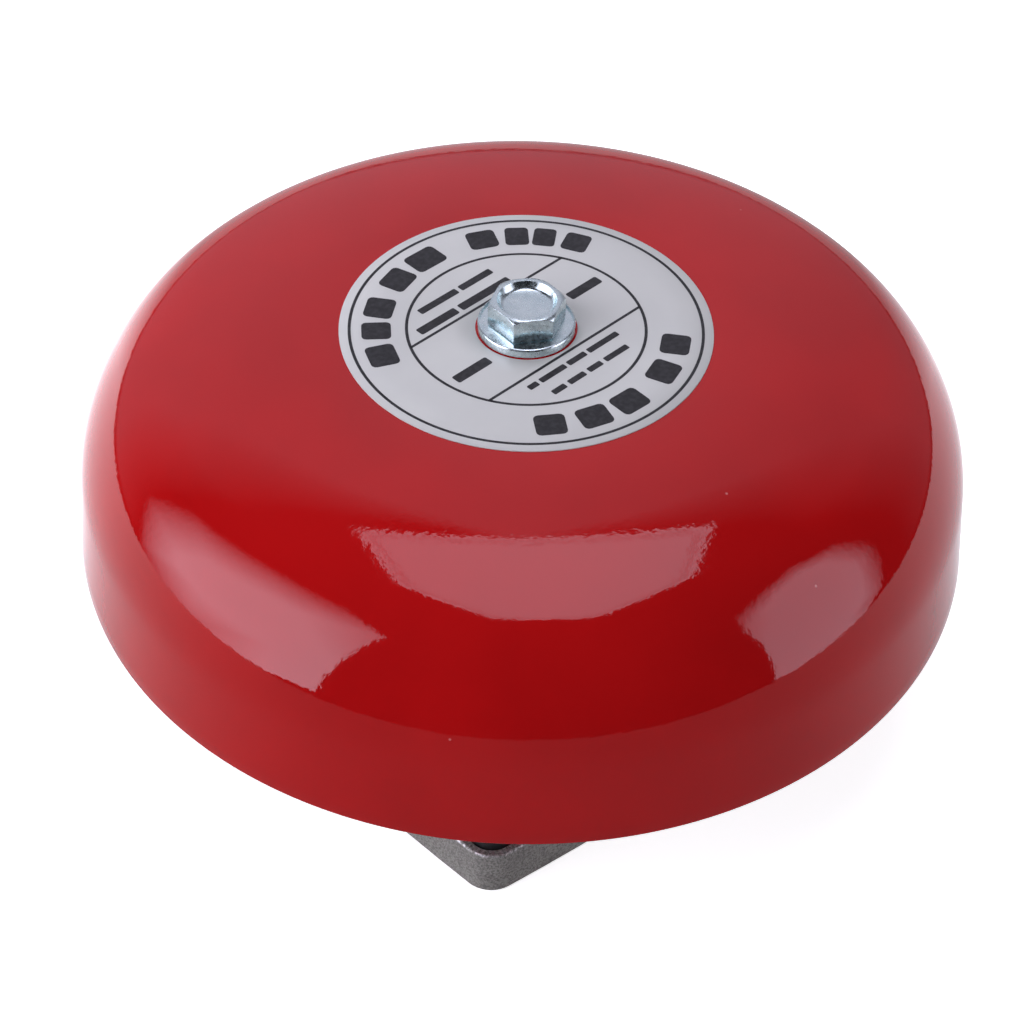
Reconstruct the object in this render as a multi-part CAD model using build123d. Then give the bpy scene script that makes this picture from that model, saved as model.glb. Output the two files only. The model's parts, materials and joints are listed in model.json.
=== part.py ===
from build123d import *
import math
import os

# A six inch motor bell for a fire alarm. Everything is in millimetres.
# The origin is the middle of the back face, +Z points away from the wall, +Y is up
# on the wall, and the striker points down, along -Y.

# Gong: a pressed steel bowl with its rim towards the wall
gong_rim_radius = 75.0
gong_rim_z = 24.5
gong_rise = 39.9  # from the rim to the outside of the flat crown
gong_wall = 1.6
skirt_flare = math.radians(4.9)
shoulder_radius = 24.3
shoulder_height = 12.3  # centre of the shoulder arc, above the rim
crown_flat_radius = 31.0

# Label round the bolt
label_radius = 30.35
label_hole_radius = 8.3
label_thickness = 0.15

# Bolt that holds the gong, its washers and its post
bolt_radius = 3.175
gong_hole_clearance = 0.325
bolt_length = 16.0
bolt_head_height = 4.2
bolt_across_flats = 11.1
bolt_dish_radius = 4.3
bolt_dish_depth = 0.7
bolt_washer_radius = 7.95
bolt_washer_thickness = 1.6
isolator_radius = 9.0
isolator_thickness = 1.0
post_radius = 7.0
post_flange_radius = 10.0
post_flange_height = 3.0
stud_radius = 4.0
stud_length = 11.8
stud_nut_across_flats = 13.0
stud_nut_height = 6.5
lock_washer_thickness = 1.6
lock_washer_radius = 7.4
post_tap_spare = 2.2  # thread left free below the bolt's tip

# Back box: a cast tray whose sides bow gently outwards
box_width = 98.0
box_height = 8.8
box_bow_radius = 470.0
box_corner_radius = 5.0
box_floor = 2.6
box_wall = 3.8
box_lip = 1.3
box_lip_depth = 2.4
box_edge_round = 0.5
box_boss_radius = 4.2
box_boss_inset = 9.5  # from the side of the box to the middle of a corner boss
relief_depth = 0.8
relief_rim = 5.0
relief_rib = 4.0

# Holes in the back box
wall_hole_radius = 2.6
wall_hole_spacing = 60.3
wall_pad_radius = 6.0
wall_pad_height = 1.0
cable_y = 27.0
cable_bore_radius = 4.0
grommet_neck_radius = 7.0
grommet_flange_radius = 9.0
grommet_flange_thickness = 1.6
grommet_sink = 1.0
earth_x = 24.0
earth_boss_height = 2.0

# Chassis: a black moulding that closes the back box and carries the mechanism
gasket_thickness = 1.0
flange_gap = 0.4
flange_thickness = 2.5
flange_margin = 13.0  # from the side of the box to the side of the raised body
chassis_wall = 2.2
chassis_corner_radius = 8.0
deck_thickness = 3.0
chamber_head_air = 0.8  # between the bump stop and the chamber's lid
chamber_half_width = 14.0
chamber_back = 12.0  # distance of the chamber's back wall from the gong's axis
chamber_wall = 2.2
nose_wall = 5.2  # thicker, because it holds the guide bush
cover_thickness = 2.5
cover_corner_radius = 3.0
cover_boss_radius = 2.2
cover_boss_inset = 4.2

# Motor, hung under the deck on an upright axis
motor_nut_air = 3.5  # from the motor's side to the nearest flat of the post's nut
motor_radius = 16.0
motor_length = 18.0
motor_floor_air = 4.6
motor_side_air = 0.3
can_wall = 1.0
end_cap_thickness = 2.0
end_cap_spigot = 0.8
motor_boss_radius = 3.5
motor_boss_height = 2.0
bearing_radius = 2.5
bearing_length = 2.4
shaft_radius = 1.25
shaft_end_air = 0.6  # below the shaft, in the rear bearing's pocket
shaft_end_show = 0.4  # shaft seen above the cam's hub
magnet_thickness = 2.65
magnet_angle = 130.0
rotor_air_gap = 0.6
rotor_low = 7.3  # underside of the lamination stack, above the motor's base
rotor_stack = 7.0
rotor_poles = 5
pole_shoe_thickness = 1.5
pole_shoe_angle = 56.0
tooth_width = 3.2
rotor_hub_radius = 4.0
coil_width = 5.6
coil_overhang = 0.8
coil_end_air = 0.6
commutator_radius = 3.0
commutator_height = 2.6
brush_length = 3.4
brush_width = 2.8
brush_height = 2.0
brush_leaf = 0.4
tab_width = 3.0
tab_air = 0.8  # from a terminal tab's outer corner to the inside of the can, across the leaves
tab_drop = 2.3
motor_screw_pitch = 17.0

# Cam on the motor shaft, with the pin that kicks the striker
cam_radius = 7.2
cam_thickness = 2.0
cam_air = 0.6
cam_hub_radius = 3.3
cam_hub_height = 4.8
kicker_orbit = 5.0
kicker_radius = 1.5
kicker_height = 5.2
grub_radius = 1.0

# Striker, from its tail beside the cam to its nose beside the gong
striker_travel = 3.5
striker_air = 0.3  # kept between the striker and the kicker, and the striker and the gong
rod_radius = 2.0
rod_tail_radius = 1.0
rod_tail_length = 1.2
rod_nose_radius = 1.5
rod_nose_length = 4.0
tail_pad_overhang = 0.2  # how far the pad stands out beyond the rod
tail_pad_air = 0.4  # between the pad and the cam's face
tail_pad_length = 2.0
head_radius = 4.0
head_length = 7.8
head_nose_radius = 8.0
stop_wall_gap = 0.2
stop_wall_thickness = 1.5
stop_slot_air = 1.3
stop_wall_drop = 1.0  # below the chamber's lid
bump_length = 1.0
bump_air = 0.4  # between the bump stop and the deck
collar_overlap = 0.7  # how far the collar bears on the bump stop
collar_length = 2.0
spring_length = 8.0
spring_wire_radius = 0.3
spring_air = 0.6  # between the rod and the coils
spring_turns = 5
bush_wall = 1.2
bush_flange_width = 1.3
bush_flange_length = 1.2
seal_length = 1.2

# Circuit board and what it carries
board_half_length = 32.0
board_low_y = 12.0
board_high_y = 31.0
board_thickness = 1.6
standoff_height = 8.2
standoff_radius = 3.0
standoff_inset_x = 3.0
standoff_inset_y = 2.5
terminal_ways = 4
terminal_pitch = 5.8
terminal_x = -26.4
terminal_low_y = 17.0
terminal_high_y = 29.0
terminal_height = 9.8
lead_radius = 0.8
lead_y = 14.0
small_parts_y = 17.0
wire_radius = 0.3
leg_radius = 0.35
leg_show = 0.4  # bare leg between a component and the board
capacitor_x, capacitor_y = 17.5, 25.0
capacitor_length, capacitor_width, capacitor_height = 13.0, 6.0, 8.0
capacitor_pitch = 8.0
varistor_x = 14.0
varistor_radius = 4.0
varistor_thickness = 3.4
varistor_pitch = 4.0
diode_x = 21.5
diode_radius = 1.3
diode_length = 4.4
diode_pitch = 5.4
diode_drop = 1.8

# Screws: radius, head radius and head height
m4_radius, m4_head_radius, m4_head_height = 2.0, 3.8, 2.6
m25_radius, m25_head_radius, m25_head_height = 1.25, 2.3, 1.7
chassis_screw_length = 7.4
cover_screw_length = 8.0
board_screw_length = 6.5
motor_screw_length = 5.0
earth_screw_length = 3.6
earth_washer_thickness = 0.8

# Clearances
running_fit = 0.05
thread_clearance = 0.05
seat_clearance = 0.02
screw_clearance = 0.25
rest_gap = 0.1
end_chamfer = 0.3

# Sizes that follow from the rod, the bolt and the motor
gong_hole_radius = bolt_radius + gong_hole_clearance
motor_offset = motor_radius + stud_nut_across_flats / 2 + motor_nut_air
tail_pad_radius = rod_radius + tail_pad_overhang
stop_slot_radius = tail_pad_radius + stop_slot_air
collar_radius = stop_slot_radius + collar_overlap
spring_mean_radius = rod_radius + spring_air + spring_wire_radius
bush_radius = rod_radius + bush_wall
bush_flange_radius = bush_radius + bush_flange_width
striker_rise = cam_air + cam_thickness + tail_pad_air + tail_pad_radius
bump_radius = striker_rise - bump_air
chamber_height = striker_rise + bump_radius + chamber_head_air

# Levels, from the wall outwards
ledge_z = box_height - box_lip_depth
flange_z = ledge_z + gasket_thickness
flange_top_z = flange_z + flange_thickness
motor_z = box_floor + motor_floor_air
deck_z = motor_z + motor_length
deck_top_z = deck_z + deck_thickness
chamber_top_z = deck_top_z + chamber_height
striker_z = deck_top_z + striker_rise
cam_z = deck_top_z + cam_air
gong_top_z = gong_rim_z + gong_rise
post_top_z = gong_top_z - gong_wall - isolator_thickness
bolt_seat_z = gong_top_z + bolt_washer_thickness
board_top_z = deck_z - standoff_height
board_z = board_top_z - board_thickness

# Places across the box
boss_offset = box_width / 2 - box_boss_inset
body_width = box_width - 2 * flange_margin
hole_offset = wall_hole_spacing / 2
standoff_x = board_half_length - standoff_inset_x
standoff_ys = (board_low_y + standoff_inset_y, board_high_y - standoff_inset_y)
grub_z = cam_z + cam_thickness + cam_hub_height * 0.55
motor_screw_xs = (-motor_screw_pitch / 2, motor_screw_pitch / 2)

# Arcs of the gong: the shoulder meets the flared skirt, the crown meets the shoulder and the flat
skirt_top_height = shoulder_height + shoulder_radius * math.sin(skirt_flare)
shoulder_centre = (
    gong_rim_radius - shoulder_radius * math.cos(skirt_flare) - skirt_top_height * math.tan(skirt_flare)
)
crown_run = shoulder_centre - crown_flat_radius
crown_drop = shoulder_height - gong_rise
crown_radius = (shoulder_radius**2 - crown_run**2 - crown_drop**2) / (2 * (crown_drop + shoulder_radius))
crown_angle = math.atan2(crown_drop + crown_radius, crown_run)


def gong_inside_radius(z):
    # Radius of the gong's inner face at a level beside the skirt or the shoulder
    height = z - gong_rim_z
    inner = shoulder_radius - gong_wall
    skirt_top = shoulder_height + inner * math.sin(skirt_flare)
    if height <= skirt_top:
        return shoulder_centre + inner * math.cos(skirt_flare) + (skirt_top - height) * math.tan(skirt_flare)
    return shoulder_centre + math.sqrt(inner**2 - (height - shoulder_height) ** 2)


# Stations along the striker, as distances from the gong's axis
tail_at = motor_offset + kicker_orbit + kicker_radius + striker_air
stop_wall_at = tail_at + tail_pad_length + stop_wall_gap
bump_at = stop_wall_at + stop_wall_thickness
collar_at = bump_at + bump_length + rest_gap
spring_at = collar_at + collar_length
bush_at = spring_at + spring_length
nose_wall_at = bush_at + bush_flange_length
chamber_front = nose_wall_at + nose_wall
nose_at = gong_inside_radius(striker_z) - striker_air - striker_travel
head_at = nose_at - head_length


# Shapes used by many pieces


def disc(radius, low, high, x=0.0, y=0.0):
    return Pos(x, y, low) * extrude(Circle(radius), high - low)


def ring(outer, inner, low, high, x=0.0, y=0.0):
    return Pos(x, y, low) * extrude(Circle(outer) - Circle(inner), high - low)


def block(x_span, y_span, z_span):
    size = [high - low for low, high in (x_span, y_span, z_span)]
    middle = [(low + high) / 2 for low, high in (x_span, y_span, z_span)]
    return Pos(*middle) * Box(*size)


def slab(outline, low, high):
    return Pos(0, 0, low) * extrude(outline, high - low)


def turned(points):
    # Solid of revolution about Z from (radius, height) points
    return revolve(Plane.XZ * make_face(Polyline(*points, close=True)), Axis.Z)


def along_striker(shape):
    # Lays a turned piece on the striker's axis, its height becoming the distance from the gong's axis
    return Pos(0, 0, striker_z) * Rot(90, 0, 0) * shape


def at_motor(shape):
    return Pos(0, -motor_offset, motor_z) * shape


def four_corners(x, y):
    return [(sx * x, sy * y) for sx in (-1, 1) for sy in (-1, 1)]


def box_outline(inset):
    # Square with bowed sides: what four large discs have in common, with rounded corners
    radius = box_bow_radius - inset
    shift = box_bow_radius - box_width / 2
    outline = Pos(shift, 0) * Circle(radius)
    for x, y in ((-shift, 0), (0, shift), (0, -shift)):
        outline &= Pos(x, y) * Circle(radius)
    return fillet(outline.vertices(), max(box_corner_radius - inset, 1.0))


def pan_screw(radius, length, head_radius, head_height):
    # Cross-recessed screw that hangs through z 0, where the underside of its head lies
    head = disc(head_radius, 0, head_height)
    head = fillet(head.edges().group_by(Axis.Z)[-1], head_height * 0.4)
    cross_depth = head_height * 0.6
    arm = head_radius * 0.55
    slot = head_radius * 0.13
    low = head_height - cross_depth
    cross = block((-arm, arm), (-slot, slot), (low, head_height))
    cross += block((-slot, slot), (-arm, arm), (low, head_height))
    tip = radius * 0.3
    shank = turned([(0, 0), (radius, 0), (radius, tip - length), (radius - tip, -length), (0, -length)])
    return head + shank - cross


# Gong and what holds it


def gong_outline(inset):
    # Points and arcs from the rim to the flat crown, for the outer face or, with the wall as inset, the inner
    shoulder = shoulder_radius - inset
    crown = crown_radius - inset
    crown_centre = (crown_flat_radius, gong_top_z - crown_radius)

    def on_shoulder(angle):
        height = gong_rim_z + shoulder_height + shoulder * math.sin(angle)
        return (shoulder_centre + shoulder * math.cos(angle), height)

    def on_crown(angle):
        return (crown_centre[0] + crown * math.cos(angle), crown_centre[1] + crown * math.sin(angle))

    skirt_top = on_shoulder(skirt_flare)
    rim = (skirt_top[0] + (skirt_top[1] - gong_rim_z) * math.tan(skirt_flare), gong_rim_z)
    skirt = Line(rim, skirt_top)
    bend = ThreePointArc(skirt_top, on_shoulder((crown_angle + skirt_flare) / 2), on_shoulder(crown_angle))
    upright = math.pi / 2
    crown_arc = ThreePointArc(
        on_crown(crown_angle), on_crown((crown_angle + upright) / 2), on_crown(upright)
    )
    flat = Line(on_crown(upright), (gong_hole_radius, gong_top_z - inset))
    return [skirt, bend, crown_arc, flat]


def make_gong():
    outer = gong_outline(0.0)
    inner = gong_outline(gong_wall)
    rim = Line(outer[0] @ 0, inner[0] @ 0)
    hole = Line(outer[-1] @ 1, inner[-1] @ 1)
    return revolve(Plane.XZ * make_face(outer + inner + [rim, hole]), Axis.Z)


def make_gong_label():
    return ring(label_radius, label_hole_radius, gong_top_z, gong_top_z + label_thickness)


def make_bolt_washer():
    washer = ring(bolt_washer_radius, bolt_radius + screw_clearance, gong_top_z, bolt_seat_z)
    return fillet(washer.edges().group_by(Axis.Z)[-1].sort_by(SortBy.LENGTH)[-1:], 0.3)


def make_gong_bolt():
    head = extrude(RegularPolygon(bolt_across_flats / 2, 6, major_radius=False), bolt_head_height)
    corner = bolt_across_flats / math.sqrt(3)
    top = bolt_head_height
    rounding = turned([(0, 0), (corner, 0), (corner, top - 0.7), (corner - 1.2, top), (0, top)])
    floor = top - bolt_dish_depth
    dish = turned([(0, floor), (bolt_dish_radius - 0.7, floor), (bolt_dish_radius, top), (0, top)])
    head = (head & rounding) - dish
    tip = bolt_radius - 1
    shank = turned(
        [
            (0, 0),
            (bolt_radius, 0),
            (bolt_radius, 1 - bolt_length),
            (tip, -bolt_length),
            (0, -bolt_length),
        ]
    )
    return Pos(0, 0, bolt_seat_z) * Rot(0, 0, 30) * (head + shank)


def make_gong_isolator():
    return ring(isolator_radius, bolt_radius + screw_clearance, post_top_z, post_top_z + isolator_thickness)


def make_gong_post():
    flange_top = deck_top_z + post_flange_height
    post = turned(
        [
            (0, deck_z - stud_length),
            (stud_radius - 0.8, deck_z - stud_length),
            (stud_radius, deck_z - stud_length + 0.8),
            (stud_radius, deck_top_z),
            (post_flange_radius, deck_top_z),
            (post_flange_radius, flange_top),
            (post_radius, flange_top + 1),
            (post_radius, post_top_z - 0.5),
            (post_radius - 0.5, post_top_z),
            (0, post_top_z),
        ]
    )
    tap_floor = bolt_seat_z - bolt_length - post_tap_spare
    return post - disc(bolt_radius + thread_clearance, tap_floor, post_top_z)


def make_post_lock_washer():
    return ring(lock_washer_radius, stud_radius + screw_clearance, deck_z - lock_washer_thickness, deck_z)


def make_post_nut():
    high = deck_z - lock_washer_thickness
    low = high - stud_nut_height
    nut = slab(RegularPolygon(stud_nut_across_flats / 2, 6, major_radius=False), low, high)
    return nut - disc(stud_radius + thread_clearance, low, high)


# Back box, its seal and its cable entry


def make_back_box():
    tray = slab(box_outline(0), 0, box_height)
    tray = fillet(tray.edges().group_by(Axis.Z)[-1], box_edge_round)
    tray = chamfer(tray.edges().group_by(Axis.Z)[0], box_edge_round)
    tray -= slab(box_outline(box_wall), box_floor, box_height)
    tray -= slab(box_outline(box_lip), ledge_z, box_height)
    relief = slab(box_outline(relief_rim), 0, relief_depth)
    half = box_width / 2
    rib = relief_rib / 2
    relief -= block((-half, half), (-rib, rib), (0, relief_depth))
    relief -= block((-rib, rib), (-half, half), (0, relief_depth))
    relief -= disc(grommet_flange_radius + 2, 0, relief_depth, 0, cable_y)
    for x, y in four_corners(hole_offset, hole_offset):
        relief -= disc(wall_pad_radius, 0, relief_depth, x, y)
        tray += disc(wall_pad_radius, box_floor, box_floor + wall_pad_height, x, y)
    tray -= relief
    for x, y in four_corners(boss_offset, boss_offset):
        tray += disc(box_boss_radius, box_floor, ledge_z, x, y)
        tray -= disc(m4_radius + thread_clearance, flange_top_z - chassis_screw_length - 0.4, ledge_z, x, y)
    for x, y in four_corners(hole_offset, hole_offset):
        tray -= disc(wall_hole_radius, 0, box_floor + wall_pad_height, x, y)
    tray -= disc(grommet_neck_radius + running_fit, 0, box_floor, 0, cable_y)
    tray -= disc(grommet_flange_radius + screw_clearance, 0, grommet_sink, 0, cable_y)
    earth_top = box_floor + earth_boss_height
    tray += disc(box_boss_radius, box_floor, earth_top, earth_x)
    tray -= disc(m4_radius + thread_clearance, relief_depth + 0.6, earth_top, earth_x)
    return tray


def make_box_gasket():
    outline = box_outline(box_lip + flange_gap) - box_outline(box_wall)
    for x, y in four_corners(boss_offset, boss_offset):
        outline += Pos(x, y) * Circle(box_boss_radius)
    for x, y in four_corners(boss_offset, boss_offset):
        outline -= Pos(x, y) * Circle(m4_radius + screw_clearance)
    return slab(outline, ledge_z, flange_z)


def make_cable_grommet():
    top = box_floor + grommet_flange_thickness
    body = turned(
        [
            (cable_bore_radius, rest_gap),
            (grommet_flange_radius, rest_gap),
            (grommet_flange_radius, grommet_sink),
            (grommet_neck_radius, grommet_sink),
            (grommet_neck_radius, box_floor),
            (grommet_flange_radius, box_floor),
            (grommet_flange_radius - 0.8, top),
            (cable_bore_radius, top),
        ]
    )
    return Pos(0, cable_y, 0) * body


def make_earth_washer():
    low = box_floor + earth_boss_height
    return ring(m4_radius * 2, m4_radius + screw_clearance, low, low + earth_washer_thickness, earth_x)


def make_earth_screw():
    seat = box_floor + earth_boss_height + earth_washer_thickness
    return Pos(earth_x, 0, seat) * pan_screw(m4_radius, earth_screw_length, m4_head_radius, m4_head_height)


# Chassis


def body_outline(inset):
    # Raised body of the chassis, with the round bulge over the motor
    corner = chassis_corner_radius - inset
    side = body_width - 2 * inset
    bulge = motor_radius + motor_side_air + chassis_wall - inset
    return RectangleRounded(side, side, corner) + Pos(0, -motor_offset) * Circle(bulge)


def chamber_outline(inset, front_inset):
    # Drive chamber on the deck, reaching out over the edge of the box towards the gong
    low = -chamber_front + front_inset
    high = -chamber_back - inset
    side = 2 * (chamber_half_width - inset)
    corner = max(cover_corner_radius - inset, 0.5)
    return Pos(0, (low + high) / 2) * RectangleRounded(side, high - low, corner)


def cover_screw_places():
    x = chamber_half_width - cover_boss_inset
    back = -chamber_back - cover_boss_inset
    front = cover_boss_inset - chamber_wall - nose_wall_at
    return [(side * x, y) for side in (-1, 1) for y in (back, front)]


def make_chassis():
    shell = slab(body_outline(0), flange_top_z, deck_top_z)
    shell = fillet(shell.edges().group_by(Axis.Z)[-1], 1.2)
    shell += slab(box_outline(box_lip + flange_gap), flange_z, flange_top_z)
    shell += slab(chamber_outline(0, 0), deck_z, chamber_top_z)
    shell -= slab(body_outline(chassis_wall), flange_z, deck_z)
    shell -= slab(chamber_outline(chamber_wall, nose_wall), deck_top_z, chamber_top_z)
    shell += make_stop_wall()
    for x, y in cover_screw_places():
        shell += disc(cover_boss_radius, deck_top_z, chamber_top_z, x, y)
        hole_floor = chamber_top_z + cover_thickness - cover_screw_length - 0.5
        shell -= disc(m25_radius + thread_clearance, hole_floor, chamber_top_z, x, y)
    for x, y in four_corners(boss_offset, boss_offset):
        shell -= disc(m4_radius + screw_clearance, flange_z, flange_top_z, x, y)
    for y in standoff_ys:
        for x in (-standoff_x, standoff_x):
            shell += disc(standoff_radius, board_top_z, deck_z, x, y)
            hole_top = board_z + board_screw_length + 0.5
            shell -= disc(m25_radius + thread_clearance, board_top_z, hole_top, x, y)
    shell -= disc(stud_radius + screw_clearance, deck_z, deck_top_z)
    shell -= disc(motor_boss_radius + motor_side_air, deck_z, deck_top_z, 0, -motor_offset)
    for x in motor_screw_xs:
        shell -= Pos(x, -motor_offset, deck_top_z) * countersink(screw_clearance, deck_thickness)
    shell -= along_striker(disc(bush_radius + seat_clearance, nose_wall_at, chamber_front))
    return shell


def make_stop_wall():
    # Cross wall with a slot open at the top, where the striker's collar comes to rest
    middle = chamber_half_width - chamber_wall / 2
    span = (-bump_at, -stop_wall_at)
    wall = block((-middle, middle), span, (deck_top_z - chamber_wall / 2, chamber_top_z - stop_wall_drop))
    slot = stop_slot_radius
    wall -= block((-slot, slot), span, (striker_z, chamber_top_z))
    return wall - along_striker(disc(slot, stop_wall_at, bump_at))


def countersink(clearance, depth):
    # Hole for a flat-headed screw, its mouth at z 0
    mouth = m25_head_radius + clearance
    neck = m25_radius + clearance
    cone = mouth - neck
    return turned([(0, 0), (mouth, 0), (neck, -cone), (neck, -depth), (0, -depth)])


def make_chassis_cover():
    cover = slab(chamber_outline(0, 0), chamber_top_z, chamber_top_z + cover_thickness)
    cover = fillet(cover.edges().group_by(Axis.Z)[-1], 0.8)
    for x, y in cover_screw_places():
        cover -= disc(m25_radius + screw_clearance, chamber_top_z, chamber_top_z + cover_thickness, x, y)
    return cover


def make_cover_screws():
    screw = pan_screw(m25_radius, cover_screw_length, m25_head_radius, m25_head_height)
    seat = chamber_top_z + cover_thickness
    return [Pos(x, y, seat) * screw for x, y in cover_screw_places()]


def make_chassis_screws():
    screw = pan_screw(m4_radius, chassis_screw_length, m4_head_radius, m4_head_height)
    return [Pos(x, y, flange_top_z) * screw for x, y in four_corners(boss_offset, boss_offset)]


# Motor: its own base is z 0 and its axis is Z, until at_motor places it

front_z = motor_length - can_wall
can_z = end_cap_thickness
can_inside = motor_radius - can_wall
magnet_radius = can_inside - running_fit
rotor_radius = magnet_radius - magnet_thickness - rotor_air_gap
rotor_high = rotor_low + rotor_stack
rear_bearing_z = 0.6
rear_boss_z = rear_bearing_z + bearing_length + 0.4
commutator_z = rear_boss_z + 0.3
brush_z = commutator_z + (commutator_height - brush_height) / 2
brush_face = commutator_radius + running_fit
leaf_x = brush_face + brush_length
tab_offset = math.sqrt(can_inside**2 - (leaf_x + brush_leaf) ** 2) - tab_width / 2 - tab_air


def make_motor_can():
    can = turned(
        [
            (can_inside, can_z),
            (motor_radius, can_z),
            (motor_radius, motor_length - 1),
            (motor_radius - 1, motor_length),
            (motor_boss_radius, motor_length),
            (motor_boss_radius, motor_length + motor_boss_height),
            (bearing_radius + seat_clearance, motor_length + motor_boss_height),
            (bearing_radius + seat_clearance, front_z),
            (can_inside, front_z),
        ]
    )
    for x in motor_screw_xs:
        can -= disc(m25_radius + thread_clearance, front_z, motor_length, x)
    return at_motor(can)


def tab_span(clearance):
    # Plan of one terminal tab, on the +X side
    x_span = (leaf_x - clearance, leaf_x + brush_leaf + clearance)
    half = tab_width / 2 + clearance
    return x_span, (tab_offset - half, tab_offset + half)


def make_motor_end_cap():
    cap = disc(motor_radius, 0, end_cap_thickness)
    cap += disc(can_inside - running_fit, end_cap_thickness, end_cap_thickness + end_cap_spigot)
    cap += disc(bearing_radius + 1.5, 0, rear_boss_z)
    cap -= disc(bearing_radius + seat_clearance, rear_bearing_z, rear_boss_z)
    x_span, y_span = tab_span(rest_gap)
    slot = block(x_span, y_span, (0, end_cap_thickness + end_cap_spigot))
    return at_motor(cap - slot - mirror(slot, Plane.YZ))


def make_bearing(low, length):
    return at_motor(ring(bearing_radius, shaft_radius + running_fit, low, low + length))


def make_motor_magnets():
    outer = magnet_radius
    inner = magnet_radius - magnet_thickness
    half = math.radians(magnet_angle) / 2
    ends = ((outer, -half), (outer, half), (inner, half), (inner, -half))
    corners = [(radius * math.cos(angle), radius * math.sin(angle)) for radius, angle in ends]
    face = make_face(
        [
            ThreePointArc(corners[0], (outer, 0), corners[1]),
            Line(corners[1], corners[2]),
            ThreePointArc(corners[2], (inner, 0), corners[3]),
            Line(corners[3], corners[0]),
        ]
    )
    low = rotor_low - 0.5
    magnet = slab(face, low, front_z - 1.2)
    return [at_motor(magnet), at_motor(Rot(0, 0, 180) * magnet)]


def make_motor_shaft():
    low = rear_bearing_z + shaft_end_air
    high = cam_z + cam_thickness + cam_hub_height + shaft_end_show - motor_z
    end = shaft_radius - end_chamfer
    outline = [(0, low), (end, low), (shaft_radius, low + end_chamfer)]
    outline += [(shaft_radius, high - end_chamfer), (end, high), (0, high)]
    return at_motor(turned(outline))


def make_rotor_core():
    # Stack of laminations: a hub, one tooth to each pole and a curved shoe on each tooth
    shoe = ring(rotor_radius, rotor_radius - pole_shoe_thickness, rotor_low, rotor_high)
    half_shoe = math.radians(pole_shoe_angle / 2)
    reach = rotor_radius * 1.2
    side = reach * math.tan(half_shoe)
    wedge = make_face(Polyline((0, 0), (reach, -side), (reach, side), close=True))
    shoe &= slab(wedge, rotor_low, rotor_high)
    half = tooth_width / 2
    tooth = block((0, rotor_radius - pole_shoe_thickness / 2), (-half, half), (rotor_low, rotor_high))
    core = disc(rotor_hub_radius, rotor_low, rotor_high)
    for pole in range(rotor_poles):
        core += Rot(0, 0, pole * 360 / rotor_poles) * (tooth + shoe)
    return at_motor(core - disc(shaft_radius + seat_clearance, rotor_low, rotor_high))


def make_rotor_windings():
    inner = rotor_hub_radius + coil_end_air
    outer = rotor_radius - pole_shoe_thickness - coil_end_air
    half = coil_width / 2
    coil = block((inner, outer), (-half, half), (rotor_low - coil_overhang, rotor_high + coil_overhang))
    coil = fillet(coil.edges().filter_by(Axis.X), coil_overhang * 0.7)
    tooth = tooth_width / 2 + seat_clearance
    stack = (rotor_low - seat_clearance, rotor_high + seat_clearance)
    coil -= block((0, rotor_radius), (-tooth, tooth), stack)
    return [at_motor(Rot(0, 0, pole * 360 / rotor_poles) * coil) for pole in range(rotor_poles)]


def make_commutator():
    low = commutator_z
    drum = ring(commutator_radius, shaft_radius + seat_clearance, low, low + commutator_height)
    slit = block((shaft_radius + 0.8, commutator_radius + 1), (-0.15, 0.15), (low, low + commutator_height))
    for pole in range(rotor_poles):
        drum -= Rot(0, 0, (pole + 0.5) * 360 / rotor_poles) * slit
    return at_motor(drum)


def make_carbon_brushes():
    half = brush_width / 2
    brush = block((0, leaf_x), (-half, half), (brush_z, brush_z + brush_height))
    brush -= disc(brush_face, brush_z, brush_z + brush_height)
    return [at_motor(brush), at_motor(Rot(0, 0, 180) * brush)]


def make_brush_springs():
    # Brass leaves that press on the brushes, each ending in a terminal tab below the motor
    x_span, y_span = tab_span(0.0)
    leaf = block(x_span, (-brush_width / 2, y_span[1]), (brush_z, brush_z + brush_height))
    leaf += block(x_span, y_span, (-tab_drop, brush_z))
    mirrored = mirror(leaf, Plane.YZ)
    return [at_motor(leaf), at_motor(mirrored)]


def make_motor_screws():
    head = m25_head_radius - m25_radius
    length = motor_screw_length
    flush = rest_gap
    screw = turned(
        [
            (0, -flush),
            (m25_head_radius - flush, -flush),
            (m25_radius, -head),
            (m25_radius, -length),
            (0, -length),
        ]
    )
    arm = m25_head_radius * 0.55
    slot = m25_head_radius * 0.13
    screw -= block((-arm, arm), (-slot, slot), (-head, 0))
    screw -= block((-slot, slot), (-arm, arm), (-head, 0))
    return [Pos(x, -motor_offset, deck_top_z) * screw for x in motor_screw_xs]


# Cam, kicker and grub screw


def make_cam_wheel():
    hub_z = cam_z + cam_thickness
    cam = disc(cam_radius, cam_z, hub_z) + disc(cam_hub_radius, hub_z, hub_z + cam_hub_height)
    cam -= disc(shaft_radius + seat_clearance, cam_z, hub_z + cam_hub_height)
    cam -= disc(kicker_radius + seat_clearance, cam_z, hub_z, kicker_orbit)
    tapped = extrude(Circle(grub_radius + seat_clearance), cam_radius)
    return Pos(0, -motor_offset, 0) * (cam - Pos(-cam_radius, 0, grub_z) * Rot(0, 90, 0) * tapped)


def make_kicker_pin():
    top = cam_z + cam_thickness + kicker_height
    end = kicker_radius - end_chamfer
    side = (kicker_radius, top - end_chamfer)
    pin = turned([(0, cam_z), (kicker_radius, cam_z), side, (end, top), (0, top)])
    return Pos(kicker_orbit, -motor_offset, 0) * pin


def make_cam_grub_screw():
    length = cam_hub_radius - shaft_radius - 0.2
    screw = extrude(Circle(grub_radius), length) - extrude(RegularPolygon(grub_radius * 0.5, 6), length * 0.5)
    return Pos(-cam_hub_radius + 0.1, -motor_offset, grub_z) * Rot(0, 90, 0) * screw


# Striker


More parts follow.
